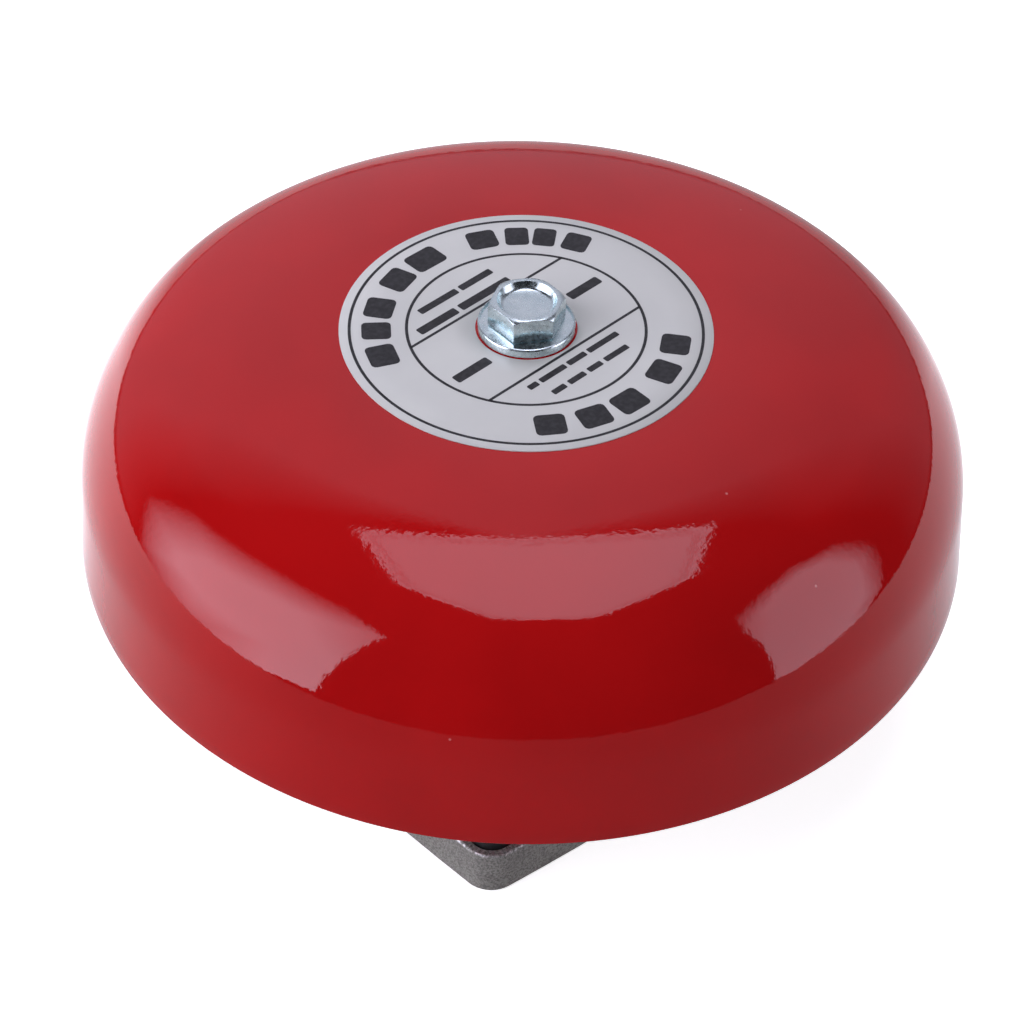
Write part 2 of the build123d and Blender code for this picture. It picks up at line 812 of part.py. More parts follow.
def make_striker_rod():
    tail = tail_at + tail_pad_length
    spigot = tail - rod_tail_length
    rod = turned(
        [
            (0, spigot),
            (rod_tail_radius, spigot),
            (rod_tail_radius, tail),
            (rod_radius, tail),
            (rod_radius, head_at),
            (rod_nose_radius, head_at),
            (rod_nose_radius, head_at + rod_nose_length),
            (0, head_at + rod_nose_length),
        ]
    )
    return along_striker(rod)


def make_striker_tail_pad():
    end = tail_at + tail_pad_length
    pad = disc(tail_pad_radius, tail_at, end)
    pad = fillet(pad.edges().group_by(Axis.Z)[0], 0.4)
    return along_striker(pad - disc(rod_tail_radius + seat_clearance, end - rod_tail_length - rest_gap, end))


def make_striker_head():
    dome = Pos(0, 0, nose_at - head_nose_radius) * Sphere(head_nose_radius)
    stem = disc(head_radius, head_at, nose_at - head_nose_radius / 4)
    head = disc(head_radius, head_at, nose_at) & (dome + stem)
    head = fillet(head.edges().group_by(Axis.Z)[0], 0.5)
    bore = disc(rod_nose_radius + seat_clearance, head_at, head_at + rod_nose_length + rest_gap)
    return along_striker(head - bore)


def make_striker_collar():
    return along_striker(ring(collar_radius, rod_radius + seat_clearance, collar_at, spring_at))


def make_return_spring():
    clear = spring_wire_radius + running_fit
    height = spring_length - 2 * clear
    helix = Helix(height / spring_turns, height, spring_mean_radius)
    section = Plane(origin=helix @ 0, z_dir=helix % 0) * Circle(spring_wire_radius)
    coil = sweep(section, path=helix, is_frenet=True)
    return along_striker(Pos(0, 0, spring_at + clear) * coil)


def make_guide_bush():
    bore = rod_radius + running_fit
    bush = turned(
        [
            (bore, bush_at),
            (bush_flange_radius, bush_at),
            (bush_flange_radius, nose_wall_at),
            (bush_radius, nose_wall_at),
            (bush_radius, chamber_front),
            (bore, chamber_front),
        ]
    )
    return along_striker(bush)


def make_rod_seal():
    seal = ring(bush_flange_radius, rod_radius + rest_gap, chamber_front, chamber_front + seal_length)
    return along_striker(seal)


def make_bump_stop():
    return along_striker(ring(bump_radius, stop_slot_radius, bump_at, bump_at + bump_length))


# Circuit board


def make_circuit_board():
    x_span = (-board_half_length, board_half_length)
    board = block(x_span, (board_low_y, board_high_y), (board_z, board_top_z))
    board = fillet(board.edges().filter_by(Axis.Z), 1.0)
    for y in standoff_ys:
        for x in (-standoff_x, standoff_x):
            board -= disc(m25_radius + screw_clearance, board_z, board_top_z, x, y)
    return board


def make_board_screws():
    screw = Rot(180, 0, 0) * pan_screw(m25_radius, board_screw_length, m25_head_radius, m25_head_height)
    return [Pos(x, y, board_z) * screw for x in (-standoff_x, standoff_x) for y in standoff_ys]


terminal_z = board_z - terminal_height
cage_y = (terminal_low_y + 3.0, terminal_low_y + 8.0)
cage_half = 2.1
cage_z = (terminal_z + 3.5, terminal_z + 8.3)
cage_window_half = 1.4
cage_window_z = (cage_z[0] + 1.5, cage_z[1] - 0.7)
terminal_screw_y = (cage_y[0] + cage_y[1]) / 2
terminal_screw_radius = 1.25
terminal_head_radius = 1.8


def terminal_centres():
    return [terminal_x + terminal_pitch * (way + 0.5) for way in range(terminal_ways)]


def make_terminal_block():
    x_span = (terminal_x, terminal_x + terminal_pitch * terminal_ways)
    body = block(x_span, (terminal_low_y, terminal_high_y), (terminal_z, board_z))
    gap = rest_gap
    for x in terminal_centres():
        pocket_x = (x - cage_half - gap, x + cage_half + gap)
        body -= block(pocket_x, (cage_y[0] - gap, terminal_high_y), (cage_z[0] - gap, cage_z[1] + gap))
        body -= disc(terminal_head_radius + gap, terminal_z, cage_z[0], x, terminal_screw_y)
    return body


def make_terminal_clamps():
    clamps = []
    for x in terminal_centres():
        cage = block((x - cage_half, x + cage_half), cage_y, cage_z)
        cage -= block((x - cage_window_half, x + cage_window_half), cage_y, cage_window_z)
        tap = terminal_screw_radius + thread_clearance
        cage -= disc(tap, cage_z[0], cage_window_z[0], x, terminal_screw_y)
        clamps.append(cage)
    return clamps


def make_terminal_screws():
    length = cage_window_z[0] - cage_z[0] + 0.8
    screws = []
    for x in terminal_centres():
        screw = disc(terminal_head_radius, -2.2, 0) + disc(terminal_screw_radius, 0, length)
        screw -= block((-terminal_head_radius, terminal_head_radius), (-0.3, 0.3), (-2.2, -1.4))
        screws.append(Pos(x, terminal_screw_y, cage_z[0] - 0.3) * screw)
    return screws


def make_noise_capacitor():
    x_span = (capacitor_x - capacitor_length / 2, capacitor_x + capacitor_length / 2)
    y_span = (capacitor_y - capacitor_width / 2, capacitor_y + capacitor_width / 2)
    body = block(x_span, y_span, (board_z - capacitor_height, board_z - leg_show))
    body = fillet(body.edges(), 0.8)
    for x in (capacitor_x - capacitor_pitch / 2, capacitor_x + capacitor_pitch / 2):
        body += disc(leg_radius, board_z - leg_show - 1, board_z, x, capacitor_y)
    return body


def make_varistor():
    z = board_z - varistor_radius - 3 * leg_show
    body = Pos(varistor_x, small_parts_y, z) * Rot(90, 0, 0) * Cylinder(varistor_radius, varistor_thickness)
    body = fillet(body.edges(), varistor_thickness * 0.35)
    for x in (varistor_x - varistor_pitch / 2, varistor_x + varistor_pitch / 2):
        body += disc(leg_radius, z + varistor_radius / 2, board_z, x, small_parts_y)
    return body


def make_polarity_diode():
    z = board_z - diode_drop
    body = Pos(diode_x, small_parts_y, z) * Rot(0, 90, 0) * Cylinder(diode_radius, diode_length)
    body += Pos(diode_x, small_parts_y, z) * Rot(0, 90, 0) * Cylinder(wire_radius, diode_pitch)
    for x in (diode_x - diode_pitch / 2, diode_x + diode_pitch / 2):
        body += disc(leg_radius, z - leg_radius - 0.1, board_z, x, small_parts_y)
    return body


def make_motor_lead(side):
    # Insulated wire from a terminal tab, along the floor of the box and up to the board
    x = side * (leaf_x + brush_leaf / 2)
    z = motor_z - tab_drop + 1.0
    start = (x, -motor_offset + tab_offset + tab_width / 2, z)
    corner = (x, lead_y, z)
    end = (x, lead_y, board_z)
    bend = 0.45 * (board_z - z)
    path = FilletPolyline(start, corner, end, radius=bend)
    print("lead bend radius", round(bend, 2), "length", round(path.length, 2))
    return sweep(Plane(origin=start, z_dir=(0, 1, 0)) * Circle(lead_radius), path=path)


pieces = {
    "gong": make_gong(),
    "gong_label": make_gong_label(),
    "bolt_washer": make_bolt_washer(),
    "gong_bolt": make_gong_bolt(),
    "gong_isolator": make_gong_isolator(),
    "gong_post": make_gong_post(),
    "post_lock_washer": make_post_lock_washer(),
    "post_nut": make_post_nut(),
    "back_box": make_back_box(),
    "box_gasket": make_box_gasket(),
    "cable_grommet": make_cable_grommet(),
    "earth_washer": make_earth_washer(),
    "earth_screw": make_earth_screw(),
    "chassis": make_chassis(),
    "chassis_screws": make_chassis_screws(),
    "chassis_cover": make_chassis_cover(),
    "cover_screws": make_cover_screws(),
    "motor_can": make_motor_can(),
    "motor_end_cap": make_motor_end_cap(),
    "motor_magnets": make_motor_magnets(),
    "motor_screws": make_motor_screws(),
    "front_bearing": make_bearing(front_z, motor_length + motor_boss_height - front_z - 0.2),
    "rear_bearing": make_bearing(rear_bearing_z, bearing_length),
    "carbon_brushes": make_carbon_brushes(),
    "brush_springs": make_brush_springs(),
    "motor_shaft": make_motor_shaft(),
    "rotor_core": make_rotor_core(),
    "rotor_windings": make_rotor_windings(),
    "commutator": make_commutator(),
    "cam_wheel": make_cam_wheel(),
    "kicker_pin": make_kicker_pin(),
    "cam_grub_screw": make_cam_grub_screw(),
    "striker_rod": make_striker_rod(),
    "striker_head": make_striker_head(),
    "striker_collar": make_striker_collar(),
    "striker_tail_pad": make_striker_tail_pad(),
    "return_spring": make_return_spring(),
    "guide_bush": make_guide_bush(),
    "rod_seal": make_rod_seal(),
    "bump_stop": make_bump_stop(),
    "circuit_board": make_circuit_board(),
    "board_screws": make_board_screws(),
    "terminal_block": make_terminal_block(),
    "terminal_clamps": make_terminal_clamps(),
    "terminal_screws": make_terminal_screws(),
    "noise_capacitor": make_noise_capacitor(),
    "varistor": make_varistor(),
    "polarity_diode": make_polarity_diode(),
    "red_lead": make_motor_lead(1),
    "black_lead": make_motor_lead(-1),
}

os.makedirs("parts", exist_ok=True)
for name, shape in pieces.items():
    solids = [solid for part in (shape if isinstance(shape, list) else [shape]) for solid in part.solids()]
    body = solids[0] if len(solids) == 1 else Compound(solids)
    export_step(body, f"parts/{name}.step")
    print(name, len(solids), round(sum(solid.volume for solid in solids), 2))
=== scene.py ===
import json
import math

import bmesh
import bpy
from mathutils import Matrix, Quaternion, Vector


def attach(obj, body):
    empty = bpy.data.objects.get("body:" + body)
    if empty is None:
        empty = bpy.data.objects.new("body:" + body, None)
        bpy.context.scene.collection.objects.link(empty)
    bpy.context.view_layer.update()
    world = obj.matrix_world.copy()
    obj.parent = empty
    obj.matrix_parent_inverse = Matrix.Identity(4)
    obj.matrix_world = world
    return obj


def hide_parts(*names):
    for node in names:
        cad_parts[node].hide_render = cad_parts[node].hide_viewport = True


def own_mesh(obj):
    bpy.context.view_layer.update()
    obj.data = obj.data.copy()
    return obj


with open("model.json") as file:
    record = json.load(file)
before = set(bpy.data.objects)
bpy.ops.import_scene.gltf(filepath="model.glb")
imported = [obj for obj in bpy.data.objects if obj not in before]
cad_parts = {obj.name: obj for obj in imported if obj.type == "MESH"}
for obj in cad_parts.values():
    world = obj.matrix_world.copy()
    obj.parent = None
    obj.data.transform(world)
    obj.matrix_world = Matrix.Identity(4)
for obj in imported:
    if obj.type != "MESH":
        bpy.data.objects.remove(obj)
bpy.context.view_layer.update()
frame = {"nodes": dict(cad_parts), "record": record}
nodes = frame["nodes"]
mm = 0.001
print("bell: frame loaded,", len(nodes), "nodes")


# Small helpers for modelling by hand

def deselectAll():
    if bpy.context.object and bpy.context.object.mode != "OBJECT":
        bpy.ops.object.mode_set(mode="OBJECT")
    bpy.ops.object.select_all(action="DESELECT")


def startEdit(piece):
    deselectAll()
    piece.select_set(True)
    bpy.context.view_layer.objects.active = piece
    bpy.ops.object.mode_set(mode="EDIT")


def applyPlace(piece):
    deselectAll()
    piece.select_set(True)
    bpy.context.view_layer.objects.active = piece
    bpy.ops.object.transform_apply(location=True, rotation=True, scale=True)


def useModifier(piece, kind, **settings):
    deselectAll()
    piece.select_set(True)
    bpy.context.view_layer.objects.active = piece
    modifier = piece.modifiers.new(kind.title(), kind)
    for setting, value in settings.items():
        setattr(modifier, setting, value)
    bpy.ops.object.modifier_apply(modifier=modifier.name)


def cutWith(piece, tool, operation):
    useModifier(piece, "BOOLEAN", operation=operation, object=tool, solver="EXACT")
    bpy.data.objects.remove(tool)


def joinAll(pieces, name):
    deselectAll()
    for piece in pieces:
        piece.select_set(True)
    bpy.context.view_layer.objects.active = pieces[0]
    bpy.ops.object.join()
    pieces[0].name = name
    return pieces[0]


def ringByRing(name, stations, around, middle=(0, 0)):
    # a circle at the first station, extruded ring by ring through the rest and closed on itself
    radius, height = stations[0]
    deselectAll()
    bpy.ops.mesh.primitive_circle_add(
        vertices=around, radius=radius * mm, location=(*middle, height * mm),
    )
    piece = bpy.context.object
    piece.name = name
    applyPlace(piece)
    bpy.ops.object.mode_set(mode="EDIT")
    bpy.ops.mesh.select_all(action="SELECT")
    for nextRadius, nextHeight in stations[1:] + [stations[0]]:
        lift = (0, 0, (nextHeight - height) * mm)
        bpy.ops.mesh.extrude_edges_move(TRANSFORM_OT_translate={"value": lift})
        grow = nextRadius / radius
        bpy.ops.transform.resize(value=(grow, grow, 1), center_override=(*middle, nextHeight * mm))
        radius, height = nextRadius, nextHeight
    bpy.ops.mesh.select_all(action="SELECT")
    bpy.ops.mesh.remove_doubles(threshold=0.002 * mm)
    bpy.ops.mesh.delete_loose(use_verts=True, use_edges=True, use_faces=False)
    bpy.ops.mesh.select_all(action="SELECT")
    bpy.ops.mesh.normals_make_consistent(inside=False)
    bpy.ops.object.mode_set(mode="OBJECT")
    return piece


def smooth(piece, degrees=40):
    deselectAll()
    piece.select_set(True)
    bpy.context.view_layer.objects.active = piece
    bpy.ops.object.shade_smooth_by_angle(angle=math.radians(degrees))


# Small helpers for finishes

def addNode(tree, kind, inputs=None, **settings):
    made = tree.nodes.new(kind)
    for setting, value in settings.items():
        setattr(made, setting, value)
    for socket, value in (inputs or {}).items():
        if isinstance(value, bpy.types.NodeSocket):
            tree.links.new(value, made.inputs[socket])
        else:
            made.inputs[socket].default_value = value
    return made


def newFinish(name, metal=0.0, ior=1.5):
    finish = bpy.data.materials.new(name)
    finish.use_nodes = True
    tree = finish.node_tree
    shader = tree.nodes["Principled BSDF"]
    shader.inputs["Metallic"].default_value = metal
    shader.inputs["IOR"].default_value = ior
    return finish, tree, shader


def onPiece(tree, stretch=(1, 1, 1), shift=(0, 0, 0)):
    place = addNode(tree, "ShaderNodeTexCoord").outputs["Object"]
    inputs = {"Vector": place, "Scale": stretch, "Location": shift}
    return addNode(tree, "ShaderNodeMapping", inputs).outputs[0]


def noise(tree, where, size, detail=3, rough=0.5):
    # size is the width of one blotch in millimetres
    return addNode(
        tree, "ShaderNodeTexNoise",
        {"Vector": where, "Scale": 1000 / size, "Detail": detail, "Roughness": rough},
    ).outputs["Fac"]


def spread(tree, value, low, high, start=0.3, end=0.7):
    return addNode(
        tree, "ShaderNodeMapRange",
        {"Value": value, "From Min": start, "From Max": end, "To Min": low, "To Max": high},
    ).outputs["Result"]


def math2(tree, operation, a, b=0.0, c=0.0):
    return addNode(tree, "ShaderNodeMath", {0: a, 1: b, 2: c}, operation=operation).outputs[0]


def tones(tree, value, stops):
    made = addNode(tree, "ShaderNodeValToRGB", {"Fac": value})
    ramp = made.color_ramp
    while len(ramp.elements) < len(stops):
        ramp.elements.new(0.5)
    for element, (position, colour) in zip(ramp.elements, stops):
        element.position = position
        element.color = (*colour, 1)
    return made.outputs["Color"]


def blendColours(tree, value, first, second):
    made = addNode(tree, "ShaderNodeMix", data_type="RGBA")
    for index, given in ((0, value), (6, first), (7, second)):
        if isinstance(given, bpy.types.NodeSocket):
            tree.links.new(given, made.inputs[index])
        else:
            made.inputs[index].default_value = given if index == 0 else (*given, 1)
    return made.outputs[2]


def relief(tree, height, depth, under=None):
    # depth is the height of the relief in millimetres
    inputs = {"Height": height, "Distance": depth * mm, "Strength": 1.0}
    if under is not None:
        inputs["Normal"] = under
    return addNode(tree, "ShaderNodeBump", inputs).outputs["Normal"]


def link(tree, output, shader, socket):
    tree.links.new(output, shader.inputs[socket])


def tint(tree, shader, value, stops):
    link(tree, tones(tree, value, stops), shader, "Base Color")


def shine(tree, shader, value, low, high, start=0.3, end=0.7):
    link(tree, spread(tree, value, low, high, start, end), shader, "Roughness")


def bump(tree, shader, height, depth, under=None):
    link(tree, relief(tree, height, depth, under), shader, "Normal")


# Finishes of the pieces that show first

enamel = {
    "red": (0.46, 0.0052, 0.0058),
    "deepRed": (0.415, 0.0046, 0.0052),
    "dust": (0.7, 0.3, 0.28),
    "gloss": 0.035,
    "blotchSize": 26,
    "peelSize": 1.0,
    "peelDepth": 0.011,
    "panSize": 11.0,  # slow waves that the press leaves in the sheet
    "panDepth": 0.007,
    "nibSpacing": 8.0,
    "nibCore": 0.014,  # shares of the spacing between nibs
    "nibEdge": 0.036,
    "nibHeight": 0.02,
}


def gongEnamel():
    finish, tree, shader = newFinish("red_enamel")
    where = onPiece(tree)
    blotches = noise(tree, where, enamel["blotchSize"], 2)
    body = tones(tree, blotches, [(0.35, enamel["deepRed"]), (0.62, enamel["red"])])
    cells = addNode(
        tree, "ShaderNodeTexVoronoi",
        {"Vector": where, "Scale": 1000 / enamel["nibSpacing"], "Randomness": 1.0},
    ).outputs["Distance"]
    rare = spread(tree, noise(tree, where, 12, 1), 0.0, 1.0, 0.5, 0.6)
    dots = spread(tree, cells, 1.0, 0.0, enamel["nibCore"], enamel["nibEdge"])
    nibs = math2(tree, "MULTIPLY", dots, rare)
    colour = blendColours(tree, math2(tree, "MULTIPLY", nibs, 0.8), body, enamel["dust"])
    link(tree, colour, shader, "Base Color")
    gloss = enamel["gloss"]
    shine(tree, shader, noise(tree, where, 9, 4), gloss * 0.8, gloss * 1.5)
    pan = relief(tree, noise(tree, where, enamel["panSize"], 1), enamel["panDepth"])
    peel = relief(tree, noise(tree, where, enamel["peelSize"], 2), enamel["peelDepth"], pan)
    bump(tree, shader, nibs, enamel["nibHeight"], peel)
    return finish


vinyl = {"white": (0.62, 0.635, 0.59), "shade": (0.59, 0.605, 0.565), "gloss": 0.34, "weave": 0.002}


def labelVinyl():
    finish, tree, shader = newFinish("label_vinyl", ior=1.45)
    where = onPiece(tree)
    tint(tree, shader, noise(tree, where, 14, 3), [(0.35, vinyl["shade"]), (0.65, vinyl["white"])])
    shine(tree, shader, noise(tree, where, 3, 4), vinyl["gloss"] * 0.85, vinyl["gloss"] * 1.2)
    bump(tree, shader, noise(tree, where, 0.7, 2), vinyl["weave"])
    return finish


ink = {"black": (0.012, 0.012, 0.013), "worn": (0.03, 0.03, 0.032)}


def printInk():
    finish, tree, shader = newFinish("label_ink", ior=1.45)
    where = onPiece(tree)
    tint(tree, shader, noise(tree, where, 0.8, 4), [(0.4, ink["black"]), (0.7, ink["worn"])])
    shine(tree, shader, noise(tree, where, 1.5, 3), 0.3, 0.45)
    return finish


zinc = {
    "light": (0.84, 0.95, 0.96),
    "blue": (0.66, 0.79, 0.82),
    "smooth": 0.18,
    "dull": 0.34,
    "cloudSize": 2.2,
    "forgedSize": 1.6,
    "forgedDepth": 0.006,
    "grainSize": 0.25,
    "grainDepth": 0.0016,
}


def zincPlate():
    finish, tree, shader = newFinish("zinc_plate", metal=1.0)
    where = onPiece(tree)
    clouds = noise(tree, where, zinc["cloudSize"], 4)
    tint(tree, shader, clouds, [(0.3, zinc["blue"]), (0.68, zinc["light"])])
    shine(tree, shader, noise(tree, where, zinc["cloudSize"] * 0.4, 4), zinc["smooth"], zinc["dull"])
    forged = relief(tree, noise(tree, where, zinc["forgedSize"], 2), zinc["forgedDepth"])
    bump(tree, shader, noise(tree, where, zinc["grainSize"], 3), zinc["grainDepth"], forged)
    return finish


casting = {
    "grey": (0.5, 0.495, 0.43),
    "dark": (0.13, 0.127, 0.112),
    "stain": (0.2, 0.195, 0.172),
    # colour of the top edge: rubbed bare metal together with a painted highlight
    "worn": (0.8, 0.78, 0.77),
    "edgeHeight": 8.8,
    "rubbedAndHighlitDepth": 0.6,
    "speckleSize": 0.5,
    "patchSize": 5,
    "patchDepth": 0.12,
    "grain": 0.36,
    "grainDepth": 0.11,
}


def sandCast():
    finish, tree, shader = newFinish("sand_cast", metal=0.2)
    where = onPiece(tree)
    grain = noise(tree, where, casting["grain"], 5, 0.65)
    patches = noise(tree, where, casting["patchSize"], 4)
    height = addNode(tree, "ShaderNodeSeparateXYZ", {0: where}).outputs["Z"]
    # The pale band along the top edge is partly rubbed bare metal and partly a painted highlight where the
    # rounded rim catches the light
    top = casting["edgeHeight"] * mm
    near = addNode(
        tree, "ShaderNodeMapRange",
        {"Value": height, "From Min": top - casting["rubbedAndHighlitDepth"] * mm, "From Max": top - 0.1 * mm},
        interpolation_type="SMOOTHSTEP",
    ).outputs["Result"]
    ragged = spread(tree, noise(tree, where, casting["speckleSize"], 5, 0.7), 0.0, 1.2, 0.46, 0.58)
    wear = math2(tree, "MULTIPLY", near, ragged)
    pits = tones(tree, grain, [(0.34, casting["dark"]), (0.6, casting["grey"])])
    stained = blendColours(tree, spread(tree, patches, 0.0, 0.4), pits, casting["stain"])
    link(tree, blendColours(tree, wear, stained, casting["worn"]), shader, "Base Color")
    shine(tree, shader, wear, 0.62, 0.34, 0.0, 1.0)
    link(tree, spread(tree, wear, 0.2, 0.85, 0.0, 1.0), shader, "Metallic")
    rough = relief(tree, patches, casting["patchDepth"])
    bump(tree, shader, grain, casting["grainDepth"], rough)
    return finish


# Finishes of everything else

def mouldedPlastic(name, colour, dark, rough=0.5, grain=0.22, depth=0.012):
    finish, tree, shader = newFinish(name, ior=1.5)
    where = onPiece(tree)
    tint(tree, shader, noise(tree, where, 6, 4), [(0.32, dark), (0.68, colour)])
    shine(tree, shader, noise(tree, where, 2.0, 5), rough * 0.85, rough * 1.15)
    bump(tree, shader, noise(tree, where, grain, 3), depth)
    return finish


def softRubber():
    finish, tree, shader = newFinish("soft_rubber", ior=1.5)
    where = onPiece(tree)
    bloom = noise(tree, where, 4, 5)
    tint(tree, shader, bloom, [(0.3, (0.012, 0.012, 0.012)), (0.7, (0.03, 0.03, 0.031))])
    shine(tree, shader, bloom, 0.62, 0.85)
    bump(tree, shader, noise(tree, where, 0.4, 4), 0.02)
    return finish


def turnedMetal(name, light, dark, stretch, smoothness=0.28, oil=None):
    # fine turning lines across the axis that has the large stretch
    finish, tree, shader = newFinish(name, metal=1.0)
    lines = noise(tree, onPiece(tree, stretch), 4.0, 3)
    clouds = noise(tree, onPiece(tree), 3.5, 4)
    colour = tones(tree, clouds, [(0.3, dark), (0.7, light)])
    if oil is not None:
        film = spread(tree, noise(tree, onPiece(tree), 1.1, 5), 0.0, 0.8)
        colour = blendColours(tree, film, colour, oil)
    link(tree, colour, shader, "Base Color")
    shine(tree, shader, lines, smoothness * 0.7, smoothness * 1.35)
    bump(tree, shader, lines, 0.008)
    return finish


def laminatedSteel():
    finish, tree, shader = newFinish("lamination_stack", metal=0.9)
    where = onPiece(tree)
    sheets = addNode(
        tree, "ShaderNodeTexWave",
        {"Vector": where, "Scale": 640.0, "Distortion": 0.4, "Detail": 2.0},
        wave_type="BANDS", bands_direction="Z",
    ).outputs["Fac"]
    tint(tree, shader, sheets, [(0.1, (0.05, 0.05, 0.055)), (0.5, (0.3, 0.3, 0.32))])
    shine(tree, shader, noise(tree, where, 1.5, 4), 0.35, 0.55)
    bump(tree, shader, sheets, 0.05)
    return finish


winding = {"copper": (0.66, 0.25, 0.1), "shadow": (0.2, 0.055, 0.02), "wire": 0.34, "axisY": -26.0}


def woundCopper():
    # turns of wire that lie at a growing distance from the motor's axis
    finish, tree, shader = newFinish("wound_copper", metal=0.85)
    where = onPiece(tree, shift=(0, -winding["axisY"] * mm, 0))
    flat = addNode(tree, "ShaderNodeVectorMath", {0: where, 1: (1, 1, 0)}, operation="MULTIPLY").outputs[0]
    reach = addNode(tree, "ShaderNodeVectorMath", {0: flat}, operation="LENGTH").outputs["Value"]
    turn = math2(tree, "SINE", math2(tree, "MULTIPLY", reach, 2 * math.pi / (winding["wire"] * mm)))
    round01 = spread(tree, turn, 0.0, 1.0, -1.0, 1.0)
    tint(tree, shader, round01, [(0.05, winding["shadow"]), (0.5, winding["copper"])])
    shine(tree, shader, noise(tree, onPiece(tree), 1.2, 3), 0.2, 0.36)
    bump(tree, shader, round01, 0.1)
    return finish


def solderMask():
    finish, tree, shader = newFinish("solder_mask", ior=1.55)
    where = onPiece(tree)
    tracks = addNode(
        tree, "ShaderNodeTexBrick",
        {
            "Vector": where, "Scale": 110.0, "Mortar Size": 0.035, "Mortar Smooth": 0.2,
            "Brick Width": 0.9, "Row Height": 0.34,
        },
    ).outputs["Fac"]
    weave = noise(tree, where, 0.5, 2)
    resin = tones(tree, weave, [(0.3, (0.008, 0.075, 0.028)), (0.7, (0.014, 0.11, 0.042))])
    link(tree, blendColours(tree, tracks, resin, (0.03, 0.2, 0.08)), shader, "Base Color")
    shine(tree, shader, noise(tree, where, 3, 4), 0.24, 0.36)
    woven = relief(tree, weave, 0.004)
    bump(tree, shader, tracks, 0.03, woven)
    return finish


aroundZ = (0.02, 0.02, 30)
aroundY = (0.02, 30, 0.02)
steelTones = ((0.62, 0.62, 0.63), (0.42, 0.42, 0.44))
brassTones = ((0.78, 0.57, 0.26), (0.55, 0.37, 0.14))
bronzeTones = ((0.55, 0.36, 0.18), (0.36, 0.21, 0.1))
blackTones = ((0.03, 0.03, 0.029), (0.016, 0.016, 0.016))
greenTones = ((0.035, 0.26, 0.09), (0.022, 0.19, 0.062))
yellowTones = ((0.72, 0.47, 0.035), (0.6, 0.37, 0.022))
blueTones = ((0.035, 0.12, 0.42), (0.02, 0.08, 0.31))
redTones = ((0.5, 0.012, 0.012), (0.4, 0.008, 0.008))
sleeveTones = ((0.02, 0.02, 0.02), (0.012, 0.012, 0.012))

finishes = {
    "red_paint": gongEnamel(),
    "label": labelVinyl(),
    "zinc": zincPlate(),
    "rubber": softRubber(),
    "steel": turnedMetal("turned_steel", *steelTones, aroundZ),
    "steel_across": turnedMetal("turned_steel_across", *steelTones, aroundY, 0.2),
    "cast_aluminium": sandCast(),
    "brass": turnedMetal("turned_brass", *brassTones, aroundZ),
    "brass_across": turnedMetal("turned_brass_across", *brassTones, aroundY),
    "black_plastic": mouldedPlastic("black_moulding", *blackTones, rough=0.55, grain=0.3, depth=0.03),
    "magnet": mouldedPlastic("ferrite", (0.06, 0.06, 0.065), (0.03, 0.03, 0.033), rough=0.6, grain=0.12),
    "bronze": turnedMetal("oiled_bronze", *bronzeTones, aroundZ, 0.34, (0.12, 0.07, 0.03)),
    "bronze_across": turnedMetal("oiled_bronze_across", *bronzeTones, aroundY, 0.34, (0.12, 0.07, 0.03)),
    "carbon": mouldedPlastic("carbon", (0.035, 0.035, 0.037), (0.015, 0.015, 0.016), rough=0.42, grain=0.1),
    "lamination": laminatedSteel(),
    "copper": woundCopper(),
    "commutator": turnedMetal("commutator_copper", (0.8, 0.42, 0.25), (0.5, 0.2, 0.1), aroundZ, 0.22),
    "black_steel": turnedMetal("black_steel", (0.07, 0.07, 0.075), (0.03, 0.03, 0.033), aroundZ, 0.36),
    "nylon": mouldedPlastic("nylon", (0.75, 0.73, 0.66), (0.66, 0.63, 0.55), rough=0.38),
    "spring_steel": turnedMetal("spring_wire", (0.55, 0.56, 0.58), (0.3, 0.3, 0.33), (1, 1, 1), 0.24),
    "board": solderMask(),
    "terminal_plastic": mouldedPlastic("terminal_green", *greenTones, rough=0.36, depth=0.006),
    "capacitor_yellow": mouldedPlastic("capacitor_yellow", *yellowTones, rough=0.3, depth=0.006),
    "varistor_blue": mouldedPlastic("varistor_blue", *blueTones, rough=0.26, grain=1.4, depth=0.02),
    "red_wire": mouldedPlastic("red_sleeve", *redTones, rough=0.34, depth=0.004),
    "black_wire": mouldedPlastic("black_sleeve", *sleeveTones, rough=0.36, depth=0.004),
}
lyingPieces = {
    "striker_rod": "steel_across", "striker_head": "steel_across", "striker_collar": "brass_across",
    "guide_bush": "bronze_across", "commutator": "commutator",
}
slotOf = {row["node"]: row["material_slot"] for row in frame["record"]["subparts"]}


def wear(piece, finish):
    if not piece.material_slots:
        piece.data.materials.append(finish)
    for slot in piece.material_slots:
        slot.material = finish


for name, piece in nodes.items():
    wear(piece, finishes[lyingPieces.get(name, slotOf[name])])
print("bell: finishes made,", len(finishes))


def adopt(piece, body, node, slot, finish=None):
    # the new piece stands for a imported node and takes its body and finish
    wear(piece, finish or finishes[slot])
    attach(piece, body)
    if node:
        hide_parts(node)


# Gong: one pressed bowl, from the hole in its crown down the inside, round the rim and back up

gong = {
    "rimRadius": 75.0,
    "rimHeight": 24.5,
    "rise": 39.9,
    "wall": 1.6,
    "flare": math.radians(4.9),
    "shoulder": 24.3,
    "shoulderHeight": 12.3,
    "crownFlat": 31.0,
    "hole": 3.5,
    "holeRound": 0.15,
    "edgeRound": 0.3,
    "flatRings": (24.0, 17.0, 11.0, 7.0),
    "skirtSteps": 6,
    "around": 256,
    "shoulderSteps": 34,
    "crownSteps": 16,
}


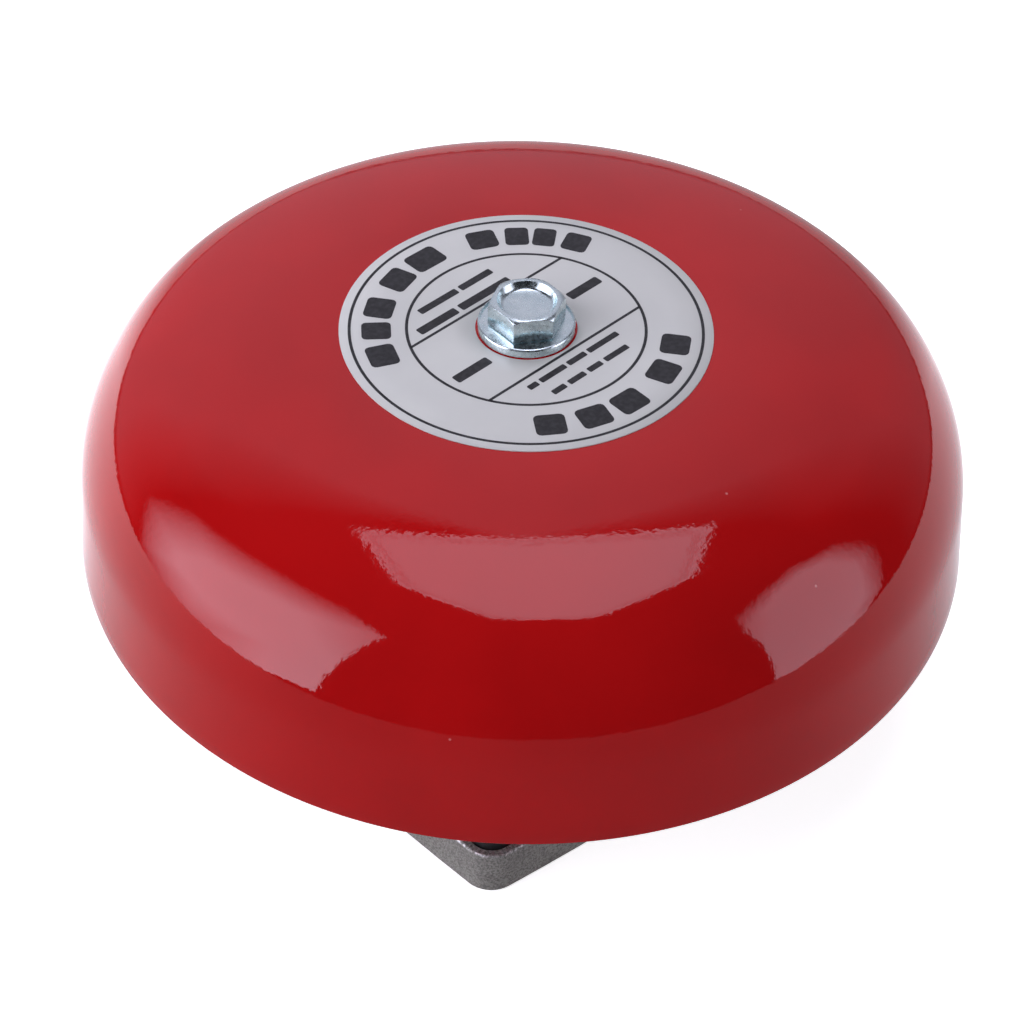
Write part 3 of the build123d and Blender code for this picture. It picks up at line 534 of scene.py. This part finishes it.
def bowlFace(inset):
    # stations of one face, from the rim up to the edge of the flat crown
    g = gong
    lowAt = g["shoulderHeight"] + g["shoulder"] * math.sin(g["flare"])
    middle = g["rimRadius"] - g["shoulder"] * math.cos(g["flare"]) - lowAt * math.tan(g["flare"])
    run = middle - g["crownFlat"]
    drop = g["shoulderHeight"] - g["rise"]
    crown = (g["shoulder"] ** 2 - run ** 2 - drop ** 2) / (2 * (drop + g["shoulder"]))
    meet = math.atan2(drop + crown, run)
    bend = g["shoulder"] - inset
    top = g["rimHeight"] + g["rise"]
    stations = []
    for step in range(g["shoulderSteps"] + 1):
        angle = g["flare"] + (meet - g["flare"]) * step / g["shoulderSteps"]
        height = g["rimHeight"] + g["shoulderHeight"] + bend * math.sin(angle)
        stations.append((middle + bend * math.cos(angle), height))
    for step in range(1, g["crownSteps"] + 1):
        angle = meet + (math.pi / 2 - meet) * step / g["crownSteps"]
        arc = crown - inset
        stations.append((g["crownFlat"] + arc * math.cos(angle), top - crown + arc * math.sin(angle)))
    low = stations[0]
    foot = g["rimHeight"] + g["edgeRound"]
    skirt = []
    for step in range(g["skirtSteps"]):
        height = foot + (low[1] - foot) * step / g["skirtSteps"]
        skirt.append((low[0] + (low[1] - height) * math.tan(g["flare"]), height))
    return skirt + stations


def makeGong():
    g = gong
    outer = bowlFace(0.0)
    inner = bowlFace(g["wall"])
    soft = g["edgeRound"]
    lip = []
    for middle, start in ((inner[0][0] + soft, 0), (outer[0][0] - soft, 4)):
        for step in range(start, start + 5):
            angle = math.pi * step / 8
            lip.append((middle - soft * math.cos(angle), inner[0][1] - soft * math.sin(angle)))
    lip = lip[1:-1]
    top = g["rimHeight"] + g["rise"]
    under = top - g["wall"]
    flats = g["flatRings"]
    small = g["holeRound"]
    hole = g["hole"]
    stations = [(hole, under + small), (hole + small, under)] + [(r, under) for r in reversed(flats)]
    stations += list(reversed(inner)) + lip + outer
    stations += [(r, top) for r in flats] + [(hole + small, top), (hole, top - small)]
    piece = ringByRing("gong_bowl", stations, g["around"])
    smooth(piece, 50)
    return piece


adopt(makeGong(), "housing", "gong", "red_paint")
print("bell: gong turned")


# Label: a vinyl disc with a hole for the washer, printed with plain bars in place of words

label = {
    "radius": 30.35,
    "hole": 8.3,
    "low": 64.4,
    "thickness": 0.13,
    "inkThickness": 0.018,
    "turn": 4.1,
    "rings": ((28.65, 0.5), (19.4, 0.5)),
    "chordHeight": 9.0,
    "chordWidth": 0.5,
    "legendRadius": 24.3,
    "legendHeight": 4.8,
    "edgeRound": 0.04,
    "flatRings": (12.0, 18.0, 24.0),
    "barRound": 0.18,  # share of a bar's narrow side
}
# angle round the label and width of each block
upperLegend = (
    (154, 5.2), (139, 4.3), (125, 5.1), (106, 5.4), (89, 6.2), (63, 5.0), (49, 4.0), (38, 3.8), (25, 4.4),
)
lowerLegend = ((-126, 5.0), (-109, 5.2), (-93, 5.4), (-71, 5.2), (-54, 5.0))
smallPrint = (  # left end, right end, height above the label's middle, tallness
    (-10.0, -1.6, 14.6, 1.4), (-0.9, 6.2, 14.6, 1.4),
    (-13.6, -5.2, 10.9, 1.7), (-4.4, 6.8, 10.9, 1.7),
    (-17.6, -10.2, -1.8, 1.9), (10.6, 17.6, 0.7, 1.9),
    (-10.6, -8.6, -11.2, 1.15), (-8.0, -2.4, -11.2, 1.15),
    (-1.8, 2.2, -11.2, 1.15), (2.8, 9.6, -11.2, 1.15),
    (-8.6, -5.8, -14.6, 1.15), (-5.0, -1.4, -14.6, 1.15),
    (-0.6, 2.4, -14.6, 1.15), (3.2, 8.4, -14.6, 1.15),
)


def makeLabel():
    low = label["low"]
    top = low + label["thickness"]
    soft = label["edgeRound"]
    stations = [(label["hole"], low), (label["hole"], top - soft), (label["hole"] + soft, top)]
    stations += [(r, top) for r in label["flatRings"]]
    stations += [(label["radius"] - soft, top), (label["radius"], top - soft), (label["radius"], low)]
    piece = ringByRing("label_disc", stations, 192)
    smooth(piece, 60)
    return piece


def printBar(x, y, width, height, turn):
    # one bar of print, its corners rounded off
    lift = label["low"] + label["thickness"] + label["inkThickness"] / 2
    deselectAll()
    bpy.ops.mesh.primitive_cube_add(
        size=1,
        location=(x * mm, y * mm, lift * mm),
        rotation=(0, 0, turn),
        scale=(width * mm, height * mm, label["inkThickness"] * mm),
    )
    bar = bpy.context.object
    applyPlace(bar)
    startEdit(bar)
    cage = bmesh.from_edit_mesh(bar.data)
    for edge in cage.edges:
        edge.select = abs(edge.verts[0].co.z - edge.verts[1].co.z) > 0.005 * mm
    bpy.ops.mesh.select_mode(type="EDGE")
    bpy.ops.mesh.bevel(offset=min(width, height) * label["barRound"] * mm, segments=3, affect="EDGES")
    bpy.ops.object.mode_set(mode="OBJECT")
    return bar


def printRing(radius, width):
    low = label["low"] + label["thickness"]
    high = low + label["inkThickness"]
    inside, outside = radius - width / 2, radius + width / 2
    corners = [(inside, low), (inside, high), (outside, high), (outside, low)]
    return ringByRing("print_ring", corners, 192)


def makeLabelPrint():
    turn = math.radians(label["turn"])
    parts = [printRing(*ring) for ring in label["rings"]]
    inner = label["rings"][1][0]
    half = math.sqrt(inner ** 2 - label["chordHeight"] ** 2)

    def place(x, y, width, height, tilt=0.0):
        across = x * math.cos(turn) - y * math.sin(turn)
        along = x * math.sin(turn) + y * math.cos(turn)
        parts.append(printBar(across, along, width, height, turn + tilt))

    for side in (-1, 1):
        place(0, side * label["chordHeight"], 2 * half, label["chordWidth"])
    for angle, width in upperLegend + lowerLegend:
        a = math.radians(angle)
        radius = label["legendRadius"]
        place(radius * math.cos(a), radius * math.sin(a), width, label["legendHeight"], a - math.pi / 2)
    for left, right, height, tall in smallPrint:
        place((left + right) / 2, height, right - left, tall)
    return joinAll(parts, "label_print")


adopt(makeLabel(), "housing", "gong_label", "label")
adopt(makeLabelPrint(), "housing", None, "label", printInk())
print("bell: label printed")


# Bolt: hex head with a dished top, its threaded shank and the flat washer

bolt = {
    "seat": 66.0,
    "headHeight": 4.2,
    "acrossFlats": 11.1,
    "dishRadius": 4.85,
    "dishDepth": 1.25,
    "rimWidth": 0.3,
    "crown": ((-1.0, 1.1), (0.0, 0.62), (0.35, 0.32), (0.7, 0.1)),  # in from a corner, down from the top
    "dish": ((1.15, 0.0), (0.8, 0.07), (0.5, 0.3), (0.2, 0.7)),  # in from its edge, up from its floor
    "edgeRound": 0.16,
    "shank": 3.175,
    "length": 16.0,
    "pitch": 1.27,
    "threadDepth": 0.42,
    "washerRadius": 7.95,
    "washerLow": 64.4,
    "washerHole": 3.425,
    # in and down; a known fault: the rows run upwards and should run downwards
    "washerEdge": ((0.0, 0.34), (0.03, 0.22), (0.1, 0.1), (0.22, 0.03), (0.34, 0.0)),
    "pole": 0.0005,  # radius of a ring that merges into one point
}


def makeBolt():
    b = bolt
    seat, top = b["seat"], b["seat"] + b["headHeight"]
    corner = b["acrossFlats"] / math.sqrt(3)
    deselectAll()
    bpy.ops.mesh.primitive_cylinder_add(
        vertices=6, radius=corner * mm, depth=b["headHeight"] * mm,
        location=(0, 0, (seat + top) / 2 * mm), rotation=(0, 0, 0),
    )
    head = bpy.context.object
    applyPlace(head)
    # the forged crown: corners rounded off, and a lip round the dish
    rim = b["dishRadius"] + b["rimWidth"]
    crown = [(b["pole"], seat - 1), (corner + 1, seat - 1)]
    crown += [(corner - back, top - down) for back, down in b["crown"]]
    crown += [(rim + 0.15, top - 0.01), (rim, top), (b["pole"], top)]
    cutWith(head, ringByRing("crown", crown, 96), "INTERSECT")
    floor = top - b["dishDepth"]
    r = b["dishRadius"]
    dish = [(b["pole"], floor)] + [(r - back, floor + up) for back, up in b["dish"]]
    dish += [(r, top), (r, top + 1), (b["pole"], top + 1)]
    cutWith(head, ringByRing("dish", dish, 96), "DIFFERENCE")
    useModifier(
        head, "BEVEL", width=b["edgeRound"] * mm, segments=3,
        limit_method="ANGLE", angle_limit=math.radians(28), harden_normals=False,
    )
    shank = [(b["pole"], seat + 0.05), (b["shank"] - 0.1, seat + 0.05), (b["shank"] - 0.1, seat - 1.0)]
    depth = seat - 1.2
    end = seat - b["length"]
    crest, root = b["shank"], b["shank"] - b["threadDepth"]
    while depth - b["pitch"] > end + 0.8:
        shank += [(root, depth), (crest, depth - b["pitch"] * 0.42), (crest, depth - b["pitch"] * 0.56)]
        depth -= b["pitch"]
    shank += [(root, depth), (crest - 1.0, end), (b["pole"], end)]
    thread = ringByRing("shank", list(reversed(shank)), 48)
    piece = joinAll([head, thread], "dished_bolt")
    smooth(piece, 32)
    return piece


def makeWasher():
    low, high = bolt["washerLow"], bolt["seat"]
    r, hole = bolt["washerRadius"], bolt["washerHole"]
    stations = [(hole, low), (hole, high - 0.1), (hole + 0.1, high)]
    stations += [(r - back, high - down) for back, down in bolt["washerEdge"]]
    stations += [(r, low + 0.15), (r - 0.15, low)]
    piece = ringByRing("flat_washer", stations, 128)
    smooth(piece, 40)
    return piece


adopt(makeBolt(), "housing", "gong_bolt", "zinc")
adopt(makeWasher(), "housing", "bolt_washer", "zinc")
print("bell: bolt and washer made")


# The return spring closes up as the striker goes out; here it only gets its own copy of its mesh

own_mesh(nodes["return_spring"])


# Camera

view = {
    "side": -41.7, "height": 42.8, "distance": 451.7, "aimHeight": 24.5, "roll": 1.51,
    "lens": 92.2, "sensor": 36, "shift": (-0.0094, -0.0036),
}


def direction(bearing, elevation):
    # bearing 0 is towards the camera and grows to the right as the camera sees it
    a = math.radians(bearing + view["side"])
    e = math.radians(elevation)
    return Vector((math.sin(a) * math.cos(e), -math.cos(a) * math.cos(e), math.sin(e)))


def makeCamera():
    lens = bpy.data.cameras.new("camera")
    lens.lens = view["lens"]
    lens.sensor_width = view["sensor"]
    lens.shift_x, lens.shift_y = view["shift"]
    lens.clip_start, lens.clip_end = 0.01, 50
    camera = bpy.data.objects.new("camera", lens)
    bpy.context.scene.collection.objects.link(camera)
    out = direction(0, view["height"])
    camera.location = Vector((0, 0, view["aimHeight"] * mm)) + out * view["distance"] * mm
    camera.rotation_mode = "QUATERNION"
    level = (-out).to_track_quat("-Z", "Y")
    camera.rotation_quaternion = level @ Quaternion((0, 0, 1), math.radians(view["roll"]))
    bpy.context.scene.camera = camera


makeCamera()


# Studio: a pale floor, soft boxes, a table that only the gloss sees and a pale wall behind

studio = {
    "reach": 4.0,
    "tint": (1.0, 0.97, 1.14, 1),
    # each corner has its bearing, elevation and share of the glow, each ring its width and glow
    "overhead": {
        "corners": (
            (-139.3, 64.6, 0), (139.4, 61.1, 0), (116.2, 67.9, 0),
            (51.0, 74.9, 0), (-20.2, 78.6, 0), (-113.7, 74.7, 0),
        ),
        "rings": ((0.006, 2.5), (0.012, 2.5), (0.004, 1.5), (0.01, 1.5), (0.004, 2.25)),
        "seenInGloss": True,
    },
    "left": {
        "corners": (
            (-108, 16, 0), (-100, -2, 0), (-80, -6, 0.4), (-58, -4, 1), (-45, -2, 1),
            (-43, 20, 1), (-41, 50, 0.5), (-63, 57, 0), (-86, 52, 0), (-105, 36, 0),
        ),
        "rings": ((0.34, 3.6),),
        "seenInGloss": True,
    },
    "right": {
        "corners": (
            (59, -4, 1), (60, 20, 1), (61, 35, 0.7), (65, 45, 0), (80, 49, 0), (94, 48, 0),
            (101, 38, 0), (99, 20, 0), (92, 0, 0.3), (82, -5, 1), (68, -6, 1),
        ),
        "rings": ((0.13, 2.1),),
        "seenInGloss": True,
    },
    "fill": {
        "corners": (
            (-115, 12, 0), (-160, 12, 0), (155, 12, 0), (155, 65, 0), (-160, 65, 0), (-115, 65, 0),
        ),
        "rings": ((0.1, 1.7),),
        "seenInGloss": False,
    },
    "rear": {
        "low": 0.36,
        "high": 0.54,
        "rightShare": 0.6,  # how much of it is left at the far right
        "narrowing": 0.37,
        "sideSlope": 0.65,
        "softMiddle": 0.03,
        "softSides": 0.42,
    },
    "room": 0.012,
    "floor": (0.93, 0.93, 0.93),
    "floorGlow": 0.8,
}


def hangSoftbox(name, box):
    # a flat panel through the directions of its corners, dimmer ring by ring towards its edge
    ways = [direction(bearing, height) for bearing, height, share in box["corners"]]
    middle = sum(ways, Vector()).normalized()
    points = [way * (studio["reach"] / way.dot(middle)) for way in ways]
    centre = middle * studio["reach"]
    turn = (-middle).to_track_quat("Z", "Y")
    deselectAll()
    bpy.ops.mesh.primitive_circle_add(vertices=len(points), radius=1, fill_type="NGON", location=centre)
    panel = bpy.context.object
    panel.name = name
    panel.rotation_mode = "QUATERNION"
    panel.rotation_quaternion = turn
    for vertex, point in zip(panel.data.vertices, points):
        vertex.co = turn.inverted() @ (point - centre)
    edgeGlow = panel.data.attributes.new("glow", "FLOAT", "POINT")
    for value, corner in zip(edgeGlow.data, box["corners"]):
        value.value = corner[2] * box["rings"][0][1]
    startEdit(panel)
    bpy.ops.mesh.select_all(action="SELECT")
    for width, strength in box["rings"]:
        bpy.ops.mesh.inset(thickness=width * studio["reach"], depth=0)
        cage = bmesh.from_edit_mesh(panel.data)
        layer = cage.verts.layers.float["glow"]
        for vertex in cage.verts:
            if vertex.select:
                vertex[layer] = strength
        bmesh.update_edit_mesh(panel.data)
    bpy.ops.object.mode_set(mode="OBJECT")
    glow = bpy.data.materials.new(name + "_glow")
    glow.use_nodes = True
    tree = glow.node_tree
    tree.nodes.clear()
    strength = addNode(tree, "ShaderNodeAttribute", attribute_name="glow").outputs["Fac"]
    light = addNode(tree, "ShaderNodeEmission", {"Color": studio["tint"], "Strength": strength})
    addNode(tree, "ShaderNodeOutputMaterial", {"Surface": light.outputs[0]})
    panel.data.materials.append(glow)
    panel.visible_camera = False
    panel.visible_glossy = box["seenInGloss"]


for name in ("overhead", "left", "right", "fill"):
    hangSoftbox("softbox_" + name, studio[name])


def layFloor():
    deselectAll()
    bpy.ops.mesh.primitive_plane_add(size=12, location=(0, 0, 0))
    floor = bpy.context.object
    floor.name = "floor"
    finish, tree, shader = newFinish("pale_floor")
    where = onPiece(tree)
    shade = tuple(c * 0.985 for c in studio["floor"])
    tint(tree, shader, noise(tree, where, 90, 3), [(0.3, shade), (0.7, studio["floor"])])
    shader.inputs["Roughness"].default_value = 0.85
    shader.inputs["Specular IOR Level"].default_value = 0.1
    shader.inputs["Emission Color"].default_value = (1, 1, 1, 1)
    eye = addNode(tree, "ShaderNodeLightPath").outputs["Is Camera Ray"]
    link(tree, math2(tree, "MULTIPLY", eye, studio["floorGlow"]), shader, "Emission Strength")
    floor.data.materials.append(finish)
    floor.visible_glossy = False


layFloor()

table = {
    "tint": (1.0, 0.97, 1.04, 1),
    "radius": 1.2,
    "back": 0.78,  # how far its middle lies behind the bell
    "front": 0.2,
    "behind": 2.5,
    "falloff": 1.7,
    "rightShare": 0.62,
    "farShare": 0.16,
}


def layReflectedTable():
    # what the enamel sees below the horizon: a table that shines more and more towards the rear wall
    deselectAll()
    bpy.ops.mesh.primitive_circle_add(
        vertices=64, radius=table["radius"], fill_type="NGON",
        location=(0, 0, -0.6 * mm), rotation=(0, 0, math.radians(view["side"])),
    )
    card = bpy.context.object
    card.name = "table_glow"
    for vertex in card.data.vertices:
        vertex.co.y += table["back"]
    glow = bpy.data.materials.new("table_glow")
    glow.use_nodes = True
    tree = glow.node_tree
    tree.nodes.clear()
    place = addNode(tree, "ShaderNodeTexCoord").outputs["Object"]
    way = addNode(tree, "ShaderNodeVectorMath", {0: place}, operation="NORMALIZE").outputs[0]
    sides = addNode(tree, "ShaderNodeSeparateXYZ", {0: way}).outputs
    behind = math2(tree, "POWER", math2(tree, "MULTIPLY_ADD", sides["Y"], 0.5, 0.5), table["falloff"])
    share = spread(tree, sides["X"], table["behind"], table["behind"] * table["rightShare"], -0.3, 0.3)
    behind = math2(tree, "MULTIPLY", behind, spread(tree, sides["Y"], 1.0, table["farShare"], 0.67, 0.86))
    strength = math2(tree, "MULTIPLY_ADD", behind, share, table["front"])
    light = addNode(tree, "ShaderNodeEmission", {"Color": table["tint"], "Strength": strength})
    addNode(tree, "ShaderNodeOutputMaterial", {"Surface": light.outputs[0]})
    card.data.materials.append(glow)
    card.visible_camera = False
    card.visible_diffuse = False
    card.visible_shadow = False


layReflectedTable()


def lightRoom():
    # a pale wall behind that narrows upwards, and a dark room in front
    world = bpy.data.worlds.new("studio")
    bpy.context.scene.world = world
    world.use_nodes = True
    tree = world.node_tree
    tree.nodes.clear()
    way = addNode(tree, "ShaderNodeTexCoord").outputs["Generated"]

    def along(axis):
        made = addNode(tree, "ShaderNodeVectorMath", {0: way, 1: axis}, operation="DOT_PRODUCT")
        return made.outputs["Value"]

    back = along(direction(180, 0))
    right = along(direction(90, 0))
    aside = math2(tree, "ABSOLUTE", right)
    above = along(Vector((0, 0, 1)))
    rear = studio["rear"]
    narrowing = math2(tree, "MULTIPLY", above, rear["narrowing"])
    edge = math2(tree, "ADD", narrowing, math2(tree, "MULTIPLY", aside, rear["sideSlope"]))
    soft = spread(tree, aside, rear["softMiddle"], rear["softSides"], 0.12, 0.75)
    over = math2(tree, "ADD", math2(tree, "SUBTRACT", back, edge), soft)
    inside = spread(tree, math2(tree, "DIVIDE", over, math2(tree, "ADD", soft, 0.04)), 0.0, 1.0, 0.0, 1.0)
    overFloor = math2(tree, "MULTIPLY", inside, spread(tree, above, 0.0, 1.0, -0.03, 0.01))
    wall = spread(tree, above, rear["low"], rear["high"], 0.05, 0.5)
    wall = math2(tree, "MULTIPLY", wall, spread(tree, right, 1.0, rear["rightShare"], 0.0, 0.5))
    strength = math2(tree, "MULTIPLY_ADD", overFloor, wall, studio["room"])
    lit = addNode(tree, "ShaderNodeBackground", {"Color": studio["tint"], "Strength": strength})
    seen = addNode(tree, "ShaderNodeBackground", {"Color": (1, 1, 1, 1), "Strength": 1.0})
    eye = addNode(tree, "ShaderNodeLightPath").outputs["Is Camera Ray"]
    mixed = addNode(tree, "ShaderNodeMixShader", {0: eye, 1: lit.outputs[0], 2: seen.outputs[0]})
    addNode(tree, "ShaderNodeOutputWorld", {"Surface": mixed.outputs[0]})


lightRoom()
bpy.context.scene.view_settings.view_transform = "Standard"
print("bell: studio lit")
